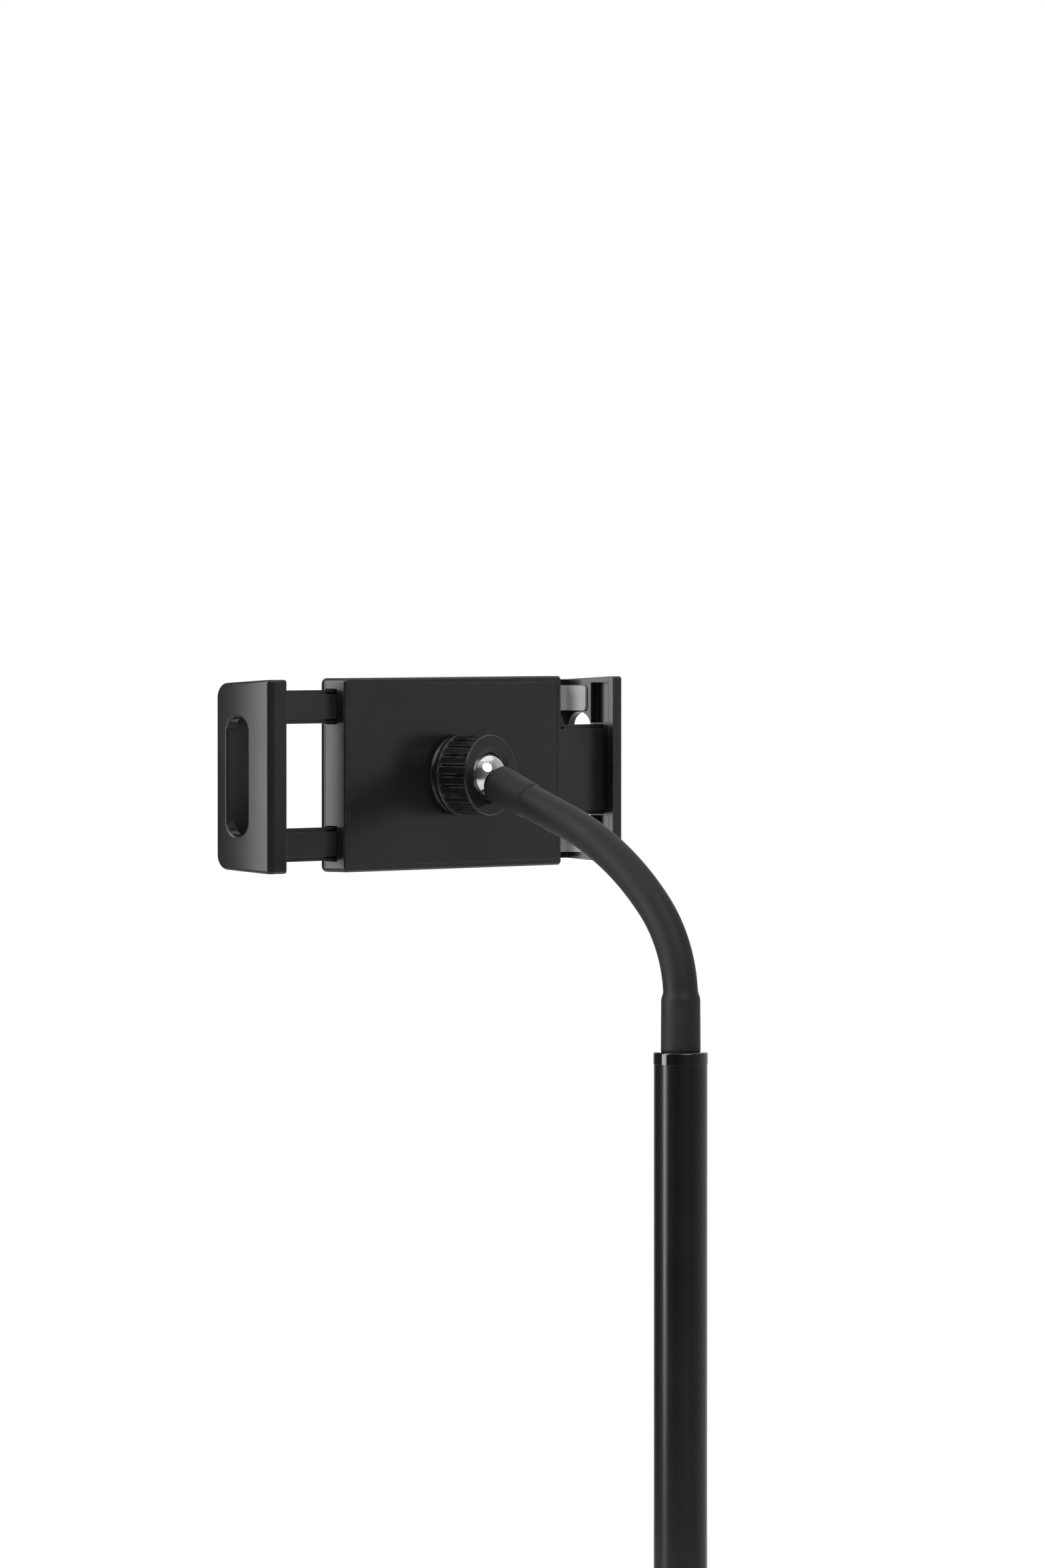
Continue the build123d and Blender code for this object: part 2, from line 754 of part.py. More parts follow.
def pocket_gaps(rails, top):
    """Heights of the cored pockets in a jaw's back, between and beside its rails."""
    reaches = [abs(z) for span in rails for z in span]
    inner, outer = min(reaches), max(reaches)
    if len(rails) == 2:
        return ((-inner + jaw_socket_wall, inner - jaw_socket_wall),)
    return ((outer + jaw_socket_wall, top), (-top, -outer - jaw_socket_wall))


def jaw_pad(side, grip, span):
    """A soft pad that lines the side wall and the lip, beside the slot."""
    wall = grip + pad_proud
    lip_inner_y = jaw_front_y + jaw_lip_thickness
    low, high = span
    body = block(grip, wall + pad_inset, lip_inner_y + lip_pad_proud, pad_back_y(), low, high)
    tip = wall - jaw_lip_length + pad_tip_margin
    body += block(tip, wall + pad_inset, lip_inner_y - lip_pad_inset, lip_inner_y + lip_pad_proud, low, high)
    body = fillet(body.edges().filter_by(Axis.X).group_by(Axis.Y)[-1], pad_corner_radius)
    if side < 0:
        body = mirror(body, Plane.YZ)
    return body


def write(name, solid):
    """Write one piece to its own file."""
    export_step(solid, f"parts/{name}.step")


os.makedirs("parts", exist_ok=True)

twin_spans = ((twin_rail_inner, twin_rail_outer), (-twin_rail_outer, -twin_rail_inner))
wide_span = (-wide_rail_half, wide_rail_half)
right_rail_end = right_grip + pad_proud + jaw_pocket_depth
left_rail_end = -(left_grip + pad_proud + jaw_pocket_depth)
(twin_post, upper_spring_z), (twin_post, lower_spring_z), (wide_post, wide_spring_z) = spring_lanes()

pieces = {
    "foot_pad": foot_pad(),
    "base_plate": base_plate(),
    "base_bolt": base_bolt(),
    "base_washer": base_washer(),
    "base_collar": base_collar(),
    "pole_insert": pole_insert(),
    "pole_tube": pole_tube(),
    "pole_cap": pole_cap(),
    "lower_ferrule": lower_ferrule(),
    "gooseneck_sleeve": gooseneck_sleeve(),
    "upper_ferrule": upper_ferrule(),
    "ball_stud": ball_stud(),
    "ball": ball(),
    "ball_seat": ball_seat(),
    "clamp_nut": clamp_nut(),
    "back_cover": back_cover(),
    "front_cover": front_cover(),
    "cover_screws": cover_screws(),
    "front_pad_right": front_pad(1),
    "front_pad_left": front_pad(-1),
    "right_rail_upper": rail(1, *twin_spans[0], right_rail_end, upper_spring_z, twin_notch_cover),
    "right_rail_lower": rail(1, *twin_spans[1], right_rail_end, lower_spring_z, twin_notch_cover),
    "left_rail": rail(-1, *wide_span, left_rail_end, wide_spring_z, wide_notch_cover),
    "right_spring_upper": spring(twin_post, rail_post_x(1), upper_spring_z),
    "right_spring_lower": spring(twin_post, rail_post_x(1), lower_spring_z),
    "left_spring": spring(wide_post, rail_post_x(-1), wide_spring_z),
    "right_jaw": jaw(1, right_grip, right_flange_overhang, right_jaw_rib_width, twin_spans),
    "left_jaw": jaw(-1, left_grip, left_flange_overhang, left_jaw_rib_width, (wide_span,)),
}
for index, piece in enumerate(gooseneck_links()):
    pieces[f"gooseneck_link_{index + 1}"] = piece
for name, side, grip in (("right", 1, right_grip), ("left", -1, left_grip)):
    for level, span in zip(("upper", "lower"), pad_spans()):
        pieces[f"{name}_jaw_pad_{level}"] = jaw_pad(side, grip, span)

for name, solid in pieces.items():
    write(name, solid)
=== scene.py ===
import json
from math import cos, pi, radians, sin

import bpy
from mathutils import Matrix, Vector


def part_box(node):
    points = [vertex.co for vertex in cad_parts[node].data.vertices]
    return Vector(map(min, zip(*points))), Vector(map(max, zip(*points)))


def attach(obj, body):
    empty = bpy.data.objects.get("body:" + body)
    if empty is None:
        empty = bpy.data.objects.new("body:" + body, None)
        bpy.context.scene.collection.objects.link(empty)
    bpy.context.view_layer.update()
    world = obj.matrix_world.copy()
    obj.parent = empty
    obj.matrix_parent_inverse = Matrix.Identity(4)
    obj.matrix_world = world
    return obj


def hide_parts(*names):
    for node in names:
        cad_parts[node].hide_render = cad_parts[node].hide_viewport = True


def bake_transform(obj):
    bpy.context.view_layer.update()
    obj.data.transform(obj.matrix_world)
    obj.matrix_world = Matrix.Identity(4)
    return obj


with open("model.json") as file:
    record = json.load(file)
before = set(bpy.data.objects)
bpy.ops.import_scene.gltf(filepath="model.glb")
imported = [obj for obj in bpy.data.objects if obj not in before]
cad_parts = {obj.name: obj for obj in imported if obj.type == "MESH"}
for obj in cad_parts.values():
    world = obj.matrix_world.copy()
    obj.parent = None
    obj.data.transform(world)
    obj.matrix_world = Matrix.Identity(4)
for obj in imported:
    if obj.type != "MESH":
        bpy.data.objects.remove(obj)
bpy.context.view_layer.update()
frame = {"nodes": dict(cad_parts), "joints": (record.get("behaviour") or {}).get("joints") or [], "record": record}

# Metres. The frame is the part's own: +Z up, and the head's front faces -Y.
MM = 0.001
MICRON = 0.001 * MM

# The gooseneck's route: its ends as the frame has them, its bends as in the part's source
CAP_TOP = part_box("pole_cap")[1].z
BEND_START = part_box("lower_ferrule")[1].z
BALL_CENTRE = Vector(next(joint["pos_m"] for joint in frame["joints"] if joint["name"] == "nut_turn"))
TIGHT_RADIUS = 50 * MM
TIGHT_ANGLE = 40
TIGHT_JOINTS = 3
WIDE_RADIUS = 100 * MM
WIDE_ANGLE = 28
WIDE_JOINTS = 4

# The rubber sleeve's shape, from the cuff on the pole to the rim of the cuff by the ball
SLEEVE_RADIUS = 6.0 * MM
SLEEVE_BORE = 4.7 * MM
FERRULE_ROOM = 5.45 * MM
CUFF_BASE_RADIUS = 6.85 * MM
CUFF_TOP_RADIUS = 6.75 * MM
CUFF_LIP = 0.35 * MM
CUFF_TAPER = 3.2 * MM
SHOULDER = 1.3 * MM
RIM_CUFF_INNER = 6.45 * MM
RIM_CUFF_LENGTH = 15 * MM
RIM_RADIUS = 6.87 * MM
RIM_ROUND = 1.0 * MM
RIM_TO_BALL = 7.6 * MM
SLEEVE_STEPS = 14
CUFF_STEPS = 8

# The springs' wire, the coil's turns, and the share of a full turn that each eye makes
WIRE_RADIUS = 0.34 * MM
COIL_INSET = 1.0 * MM
SPRING_TURNS = 26
TURN_STEPS = 16
EYE_STEPS = 24
EYE_SWEEP = 0.92
FAR_EYE_START = 0.5

# How much of the foam sheet's thickness its rim rounds off
FOAM_SOFTNESS = 0.45

# The bead round the ball joint's nut, which stands a little proud of the nut's face
NUT_RIM_LENGTH = 0.95 * MM
NUT_RIM_WIDTH = 1.3 * MM
NUT_RIM_ROUND = 0.6 * MM
NUT_RIM_PROUD = 0.02 * MM
NUT_RIM_SIDES = 144

# The fine raised line inside the border of the housing's back face
HOUSING_DEPTH = 12.35 * MM
LINE_INSET = 2.2 * MM
LINE_CORNER = 1.2 * MM
LINE_WIDTH = 0.34 * MM
LINE_RISE = 0.13 * MM


# Mesh helpers

def new_object(name, verts, faces, smooth_angle):
    """An object from points and faces, shaded smooth except at its sharp edges."""
    mesh = bpy.data.meshes.new(name)
    mesh.from_pydata([tuple(v) for v in verts], [], faces)
    mesh.validate()
    mesh.shade_smooth()
    mesh.set_sharp_from_angle(angle=radians(smooth_angle))
    mesh.update()
    piece = bpy.data.objects.new(name, mesh)
    bpy.context.scene.collection.objects.link(piece)
    return piece


def skin(name, rings, looped=True, smooth_angle=35):
    """A closed skin over rings of points: the last ring meets the first, or both ends are capped."""
    count = len(rings[0])
    verts = [point for ring in rings for point in ring]
    faces = []
    for i in range(len(rings) if looped else len(rings) - 1):
        here, there = i * count, (i + 1) % len(rings) * count
        for k in range(count):
            n = (k + 1) % count
            faces.append((here + k, here + n, there + n, there + k))
    if not looped:
        faces.append(tuple(range(count))[::-1])
        faces.append(tuple(range(len(verts) - count, len(verts))))
    return new_object(name, verts, faces, smooth_angle)


def tube(name, stations, around=56):
    """A thick tube from (centre, direction, outer radius, inner radius) stations in the plane X = 0."""
    turns = [2 * pi * k / around for k in range(around)]
    across = Vector((1, 0, 0))
    outside, inside = [], []
    for centre, direction, outer, inner in stations:
        other = direction.cross(across)
        outside.append([centre + outer * (cos(t) * across + sin(t) * other) for t in turns])
        inside.append([centre + inner * (cos(t) * across + sin(t) * other) for t in turns])
    return skin(name, outside + inside[::-1])


def turned(name, outline, around=128):
    """A solid turned about Z from an outline of (radius, height) points."""
    turns = [2 * pi * k / around for k in range(around)]
    rings = [[(radius * cos(t), radius * sin(t), height) for t in turns] for radius, height in outline]
    return skin(name, rings, looped=False)


def wire_along(name, points, wire_radius, sides=10):
    """A round wire through points, without twist."""
    turns = [2 * pi * j / sides for j in range(sides)]
    rings = []
    side = Vector((0, 0, 1))
    for k, point in enumerate(points):
        before = points[max(k - 1, 0)]
        after = points[min(k + 1, len(points) - 1)]
        direction = (after - before).normalized()
        side = (side - direction * side.dot(direction)).normalized()
        other = direction.cross(side)
        rings.append([point + wire_radius * (cos(t) * side + sin(t) * other) for t in turns])
    return skin(name, rings, looped=False, smooth_angle=60)


def fractions(count):
    """The fractions from 1/count to 1."""
    return [k / count for k in range(1, count + 1)]


def ease(t):
    """A smooth step from 0 to 1."""
    t = min(max(t, 0), 1)
    return t * t * (3 - 2 * t)


# Gooseneck sleeve: a cuff on the pole, a piece over each joint of the core, and the upper end

def lower_cuff():
    """The cuff on the pole's cap, with a small lip at its foot."""
    profile = [
        (0, CUFF_BASE_RADIUS - CUFF_LIP),
        (0.3 * CUFF_LIP, CUFF_BASE_RADIUS - 0.3 * CUFF_LIP),
        (CUFF_LIP, CUFF_BASE_RADIUS),
    ]
    for part in fractions(SLEEVE_STEPS):
        radius = CUFF_BASE_RADIUS + (CUFF_TOP_RADIUS - CUFF_BASE_RADIUS) * part
        profile.append(((BEND_START - CAP_TOP) * part, radius))
    up = Vector((0, 0, 1))
    return tube("sleeve_lower_cuff", [(Vector((0, 0, CAP_TOP + z)), up, radius, FERRULE_ROOM)
                                      for z, radius in profile])


def arc_points(start, lean, turn, radius):
    """(centre, direction) along an arc in the plane X = 0 that leans towards -Y."""
    centre_y = start.y - radius * cos(radians(lean))
    centre_z = start.z - radius * sin(radians(lean))
    found = []
    for k in range(SLEEVE_STEPS + 1):
        a = radians(lean + turn * k / SLEEVE_STEPS)
        point = Vector((0, centre_y + radius * cos(a), centre_z + radius * sin(a)))
        found.append((point, Vector((0, -sin(a), cos(a)))))
    return found


def sleeve_over_joints():
    """The seven pieces that cross the core's joints, each as (piece, first point, last point),
    and the place and direction in which the straight end goes on."""
    pieces = []
    start, lean, travelled = Vector((0, 0, BEND_START)), 0, 0
    bends = ((TIGHT_ANGLE, TIGHT_JOINTS, TIGHT_RADIUS), (WIDE_ANGLE, WIDE_JOINTS, WIDE_RADIUS))
    for turn, joints, radius in bends:
        step = turn / joints
        length = radians(step) * radius
        for k in range(joints):
            line = arc_points(start, lean, step, radius)
            stations = []
            for j, (point, direction) in enumerate(line):
                along = travelled + length * j / SLEEVE_STEPS
                outer = CUFF_TOP_RADIUS + (SLEEVE_RADIUS - CUFF_TOP_RADIUS) * ease(along / CUFF_TAPER)
                stations.append((point, direction, outer, SLEEVE_BORE))
            end = line[-1][0]
            pieces.append((tube(f"sleeve_bend_{len(pieces) + 1}", stations), start, end))
            start, lean, travelled = end, lean + step, travelled + length
    return pieces, start, Vector((0, -sin(radians(lean)), cos(radians(lean))))


def upper_sleeve(start, direction):
    """The straight upper end, which widens to a cuff with a rounded rim by the ball."""
    length = (BALL_CENTRE - start).length - RIM_TO_BALL
    cuff_start = length - RIM_CUFF_LENGTH
    rim_start = length - RIM_ROUND
    profile = [(0, SLEEVE_RADIUS)]
    for part in fractions(CUFF_STEPS):
        profile.append(((cuff_start - SHOULDER) * part, SLEEVE_RADIUS))
    for part in fractions(CUFF_STEPS):
        radius = SLEEVE_RADIUS + (RIM_CUFF_INNER - SLEEVE_RADIUS) * ease(part)
        profile.append((cuff_start - SHOULDER * (1 - part), radius))
    for part in fractions(CUFF_STEPS):
        radius = RIM_CUFF_INNER + (RIM_RADIUS - RIM_CUFF_INNER) * part
        profile.append((cuff_start + (rim_start - cuff_start) * part, radius))
    for part in fractions(CUFF_STEPS):
        a = pi / 2 * part
        profile.append((rim_start + RIM_ROUND * sin(a), RIM_RADIUS - RIM_ROUND * (1 - cos(a))))
    stations = []
    for along, radius in profile:
        inner = SLEEVE_BORE if along < cuff_start else FERRULE_ROOM
        stations.append((start + direction * along, direction, radius, inner))
    return tube("sleeve_upper_cuff", stations)


# Springs, foot and fine trim

def coil_spring(spring_node):
    """The wound spring in the space of its plain CAD tube, with an eye at each end."""
    low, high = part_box(spring_node)
    middle_y, middle_z = (low.y + high.y) / 2, (low.z + high.z) / 2
    eye_outer = (high.z - low.z) / 2
    eye = eye_outer - WIRE_RADIUS
    coil = eye_outer - COIL_INSET
    first_x, last_x = low.x + 2 * eye_outer, high.x - 2 * eye_outer
    points = []
    for k in range(EYE_STEPS + 1):
        a = 2 * pi * EYE_SWEEP * k / EYE_STEPS
        points.append(Vector((low.x + eye_outer + eye * cos(a), middle_y - eye * sin(a), middle_z)))
    for k in range(SPRING_TURNS * TURN_STEPS + 1):
        a = 2 * pi * k / TURN_STEPS
        x = first_x + (last_x - first_x) * k / (SPRING_TURNS * TURN_STEPS)
        points.append(Vector((x, middle_y + coil * sin(a), middle_z + coil * cos(a))))
    for k in range(EYE_STEPS + 1):
        a = 2 * pi * EYE_SWEEP * k / EYE_STEPS + FAR_EYE_START
        points.append(Vector((high.x - eye_outer - eye * cos(a), middle_y + eye * sin(a), middle_z)))
    return wire_along(spring_node + "_coil", points, WIRE_RADIUS)


def foot_sheet():
    """The foam sheet under the base, with a soft rounded rim."""
    low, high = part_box("foot_pad")
    radius, top = high.x, high.z
    soft = FOAM_SOFTNESS * top
    quarter = [pi / 2 * k / 6 for k in range(7)]
    outline = [(radius / 2, low.z)]
    outline += [(radius - soft + soft * sin(a), low.z + soft - soft * cos(a)) for a in quarter]
    outline += [(radius - soft + soft * cos(a), top - soft + soft * sin(a)) for a in quarter]
    outline.append((radius / 2, top))
    return turned("foot_sheet", outline)


def nut_front_rim():
    """The rounded bead round the nut's face, which the flutes stop short of."""
    low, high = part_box("clamp_nut")
    outer, face_y = high.x - NUT_RIM_PROUD, high.y + NUT_RIM_PROUD
    inner = outer - NUT_RIM_WIDTH
    profile = [(inner, face_y - NUT_RIM_LENGTH), (outer, face_y - NUT_RIM_LENGTH)]
    for k in range(9):
        a = pi / 2 * k / 8
        profile.append((outer - NUT_RIM_ROUND * (1 - cos(a)), face_y - NUT_RIM_ROUND * (1 - sin(a))))
    profile.append((inner, face_y - 2 * NUT_RIM_PROUD))
    turns = [2 * pi * j / NUT_RIM_SIDES for j in range(NUT_RIM_SIDES)]
    rings = [[Vector((radius * cos(a), y, BALL_CENTRE.z - radius * sin(a))) for a in turns]
             for radius, y in profile]
    return skin("nut_front_rim", rings, smooth_angle=30)


def cover_border_line():
    """The fine raised line that runs round the back cover, a little inside its border."""
    low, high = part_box("back_cover")
    back_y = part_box("front_cover")[0].y + HOUSING_DEPTH
    inset = LINE_INSET + LINE_CORNER
    left, right, bottom, top = low.x + inset, high.x - inset, low.z + inset, high.z - inset
    corners = ((right, top, 0), (left, top, 90), (left, bottom, 180), (right, bottom, 270))
    turns = [2 * pi * j / 12 for j in range(12)]
    rings = []
    for x, z, first in corners:
        for k in range(7):
            bearing = radians(first + 15 * k)
            outward = Vector((cos(bearing), 0, sin(bearing)))
            middle = Vector((x, back_y, z)) + LINE_CORNER * outward
            rings.append([middle + LINE_WIDTH / 2 * cos(a) * outward + Vector((0, LINE_RISE * sin(a), 0))
                          for a in turns])
    return skin("cover_border_line", rings, smooth_angle=60)


# Shader helpers

def node(tree, kind, inputs=None, **settings):
    """A shader node with its settings and the values or links of its inputs."""
    made = tree.nodes.new(kind)
    for name, value in settings.items():
        setattr(made, name, value)
    for key, value in (inputs or {}).items():
        socket = made.inputs[key]
        if isinstance(value, bpy.types.NodeSocket):
            tree.links.new(value, socket)
        else:
            socket.default_value = value
    return made


def math_node(tree, operation, first, second, clamp=False):
    """The result of a sum on two values or sockets."""
    made = node(tree, "ShaderNodeMath", {0: first, 1: second}, operation=operation, use_clamp=clamp)
    return made.outputs[0]


def spread(tree, value, low, high, to_low=0.0, to_high=1.0):
    """A value mapped from one range to another, and held inside it."""
    made = node(tree, "ShaderNodeMapRange", {
        "Value": value, "From Min": low, "From Max": high, "To Min": to_low, "To Max": to_high})
    return made.outputs["Result"]


def colour_mix(tree, factor, first, second):
    """One colour at factor 0, the other at 1."""
    made = node(tree, "ShaderNodeMix", {0: factor, 6: first, 7: second}, data_type="RGBA")
    return made.outputs[2]


def noise(tree, scale, detail, vector=None):
    """A noise value, on the object's own coordinates unless others are given."""
    if vector is None:
        vector = tree.nodes.new("ShaderNodeTexCoord").outputs["Object"]
    made = node(tree, "ShaderNodeTexNoise", {"Vector": vector, "Scale": scale, "Detail": detail})
    return made.outputs["Fac"]


def surface_normal(tree):
    """The surface's own normal, before any bump."""
    return tree.nodes.new("ShaderNodeNewGeometry").outputs["Normal"]


def new_group(name, inputs, outputs):
    """An empty shader group with named inputs (name, default) and named value outputs."""
    tree = bpy.data.node_groups.new(name, "ShaderNodeTree")
    for label, default in inputs:
        socket = tree.interface.new_socket(name=label, in_out="INPUT", socket_type="NodeSocketFloat")
        socket.default_value = default
    for label in outputs:
        tree.interface.new_socket(name=label, in_out="OUTPUT", socket_type="NodeSocketFloat")
    entry = tree.nodes.new("NodeGroupInput")
    exit_node = tree.nodes.new("NodeGroupOutput")
    return tree, entry.outputs, exit_node.inputs


def use_group(tree, group, **values):
    """The outputs of a group placed in a material. Input names are given with underscores."""
    made = tree.nodes.new("ShaderNodeGroup")
    made.node_tree = group
    for key, value in values.items():
        made.inputs[key.replace("_", " ").capitalize()].default_value = value
    return made.outputs


# Effects that several finishes share. Their sizes are in metres.

def grain_group():
    """Fine skin of a moulding or a coat of paint: a height and a slower tone."""
    tree, given, result = new_group(
        "fine_grain", [("Grain size", 0.3 * MM), ("Patch size", 30 * MM)], ["Height", "Tone"])
    fine_scale = math_node(tree, "DIVIDE", 1.0, given["Grain size"])
    slow_scale = math_node(tree, "DIVIDE", 1.0, given["Patch size"])
    fine = noise(tree, fine_scale, 3.0)
    slow = noise(tree, slow_scale, 4.0)
    tree.links.new(spread(tree, fine, 0.3, 0.7), result["Height"])
    tree.links.new(spread(tree, slow, 0.35, 0.65), result["Tone"])
    return tree


def edge_wear_and_highlight_group():
    """Lighter edges, partly rubbing and partly a painted edge highlight: strong where the surface turns sharply,
    broken up by noise.
    """
    tree, given, result = new_group(
        "rubbed_and_highlit_edges", [("Edge width", 0.4 * MM), ("Break up", 4 * MM)], ["Mask"])
    # Painted edge highlight as well as rubbing: this mask lightens the edges in every finish that uses it.
    rounded = node(tree, "ShaderNodeBevel", {"Radius": given["Edge width"]}, samples=6).outputs[0]
    meet = node(tree, "ShaderNodeVectorMath", {0: rounded, 1: surface_normal(tree)},
                operation="DOT_PRODUCT").outputs[1]
    edge = spread(tree, meet, 0.995, 0.86)
    patches = noise(tree, math_node(tree, "DIVIDE", 1.0, given["Break up"]), 3.0)
    broken = math_node(tree, "MULTIPLY", edge, spread(tree, patches, 0.36, 0.62))
    tree.links.new(broken, result["Mask"])
    return tree


def dust_group():
    """Settled dust: fine specks and a thin film, more of both on faces that look up."""
    tree, given, result = new_group(
        "settled_dust", [("Speck size", 0.6 * MM), ("Amount", 0.3)], ["Mask"])
    up = node(tree, "ShaderNodeSeparateXYZ", {0: surface_normal(tree)}).outputs[2]
    facing = spread(tree, up, -0.3, 1.0, 0.15, 1.0)
    specks = noise(tree, math_node(tree, "DIVIDE", 1.0, given["Speck size"]), 1.0)
    dots = spread(tree, specks, 0.66, 0.74)
    film = spread(tree, noise(tree, 60.0, 5.0), 0.4, 0.75, 0.0, 0.25)
    together = math_node(tree, "MAXIMUM", dots, film)
    held = math_node(tree, "MULTIPLY", math_node(tree, "MULTIPLY", together, facing), given["Amount"])
    tree.links.new(held, result["Mask"])
    return tree


def brushed_group():
    """Fine lines across Z, as turning or plating leaves on metal: a height and a slower tone."""
    tree, given, result = new_group("brushed_lines", [("Line width", 0.2 * MM)], ["Height", "Tone"])
    place = tree.nodes.new("ShaderNodeTexCoord").outputs["Object"]
    parts = node(tree, "ShaderNodeSeparateXYZ", {0: place}).outputs
    x = math_node(tree, "MULTIPLY", parts[0], 30.0)
    y = math_node(tree, "MULTIPLY", parts[1], 30.0)
    z = math_node(tree, "MULTIPLY", parts[2], math_node(tree, "DIVIDE", 1.0, given["Line width"]))
    stretched = node(tree, "ShaderNodeCombineXYZ", {0: x, 1: y, 2: z}).outputs[0]
    tree.links.new(spread(tree, noise(tree, 1.0, 2.0, stretched), 0.3, 0.7), result["Height"])
    tree.links.new(spread(tree, noise(tree, 90.0, 4.0), 0.35, 0.65), result["Tone"])
    return tree


GRAIN = grain_group()
WEAR_AND_HIGHLIGHT = edge_wear_and_highlight_group()
DUST = dust_group()
BRUSHED = brushed_group()

DUST_COLOUR = (0.22, 0.215, 0.2, 1)
DUST_ROUGHNESS = 0.3
WEAR_POLISH = 0.12
SHEEN_ROUGHNESS = 0.45


def finish_material(name, dark, light, rough, grain=(0.3, 25, 6), wear_and_highlight=None, dust=0.0,
                    specular=0.5, metallic=0.0, coat=None, sheen=0.0, brushed=None, edge_round=0.0):
    """A finish between two tones of one colour. rough is (lowest, highest) roughness; grain is
    (size mm, patch mm, bump depth in thousandths of a mm), and brushed, a line width in mm, takes
    the place of its size and patch; the edge-colour argument is (edge mm, colour, strength), a lighter
    colour on the edges that is partly rubbing and partly a painted edge highlight; coat is (weight,
    roughness); edge_round is how far from an edge, in mm, it starts to catch light as if rounded."""
    made = bpy.data.materials.new(name)
    made.use_nodes = True
    tree = made.node_tree
    shader = tree.nodes["Principled BSDF"]
    size, patch, depth = grain
    if brushed:
        texture = use_group(tree, BRUSHED, line_width=brushed * MM)
    else:
        texture = use_group(tree, GRAIN, grain_size=size * MM, patch_size=patch * MM)
    colour = colour_mix(tree, texture["Tone"], (*dark, 1), (*light, 1))
    roughness = spread(tree, texture["Tone"], 0.0, 1.0, *rough)
    if dust:
        specks = use_group(tree, DUST, amount=dust)["Mask"]
        colour = colour_mix(tree, specks, colour, DUST_COLOUR)
        rougher = math_node(tree, "MULTIPLY", specks, DUST_ROUGHNESS)
        roughness = math_node(tree, "ADD", roughness, rougher, clamp=True)
    # Lighter edge colour: partly rubbing, partly a painted highlight along the edges.
    if wear_and_highlight:
        edge, worn_and_highlit_colour, strength = wear_and_highlight
        rubbed_and_highlit = math_node(tree, "MULTIPLY", use_group(tree, WEAR_AND_HIGHLIGHT, edge_width=edge * MM)["Mask"], strength)
        colour = colour_mix(tree, rubbed_and_highlit, colour, (*worn_and_highlit_colour, 1))
        smoother = math_node(tree, "MULTIPLY", rubbed_and_highlit, WEAR_POLISH)
        roughness = math_node(tree, "SUBTRACT", roughness, smoother, clamp=True)
    bump = node(tree, "ShaderNodeBump", {
        "Height": texture["Height"], "Distance": depth * MICRON, "Strength": 1.0})
    if edge_round:
        rounded = node(tree, "ShaderNodeBevel", {"Radius": edge_round * MM}, samples=6).outputs[0]
        tree.links.new(rounded, bump.inputs["Normal"])
    tree.links.new(colour, shader.inputs["Base Color"])
    tree.links.new(roughness, shader.inputs["Roughness"])
    tree.links.new(bump.outputs[0], shader.inputs["Normal"])
    shader.inputs["Metallic"].default_value = metallic
    shader.inputs["Specular IOR Level"].default_value = specular
    if coat:
        shader.inputs["Coat Weight"].default_value = coat[0]
        shader.inputs["Coat Roughness"].default_value = coat[1]
    if sheen:
        shader.inputs["Sheen Weight"].default_value = sheen
        shader.inputs["Sheen Roughness"].default_value = SHEEN_ROUGHNESS
    return made


def grey(value):
    """A neutral colour."""
    return (value, value, value)


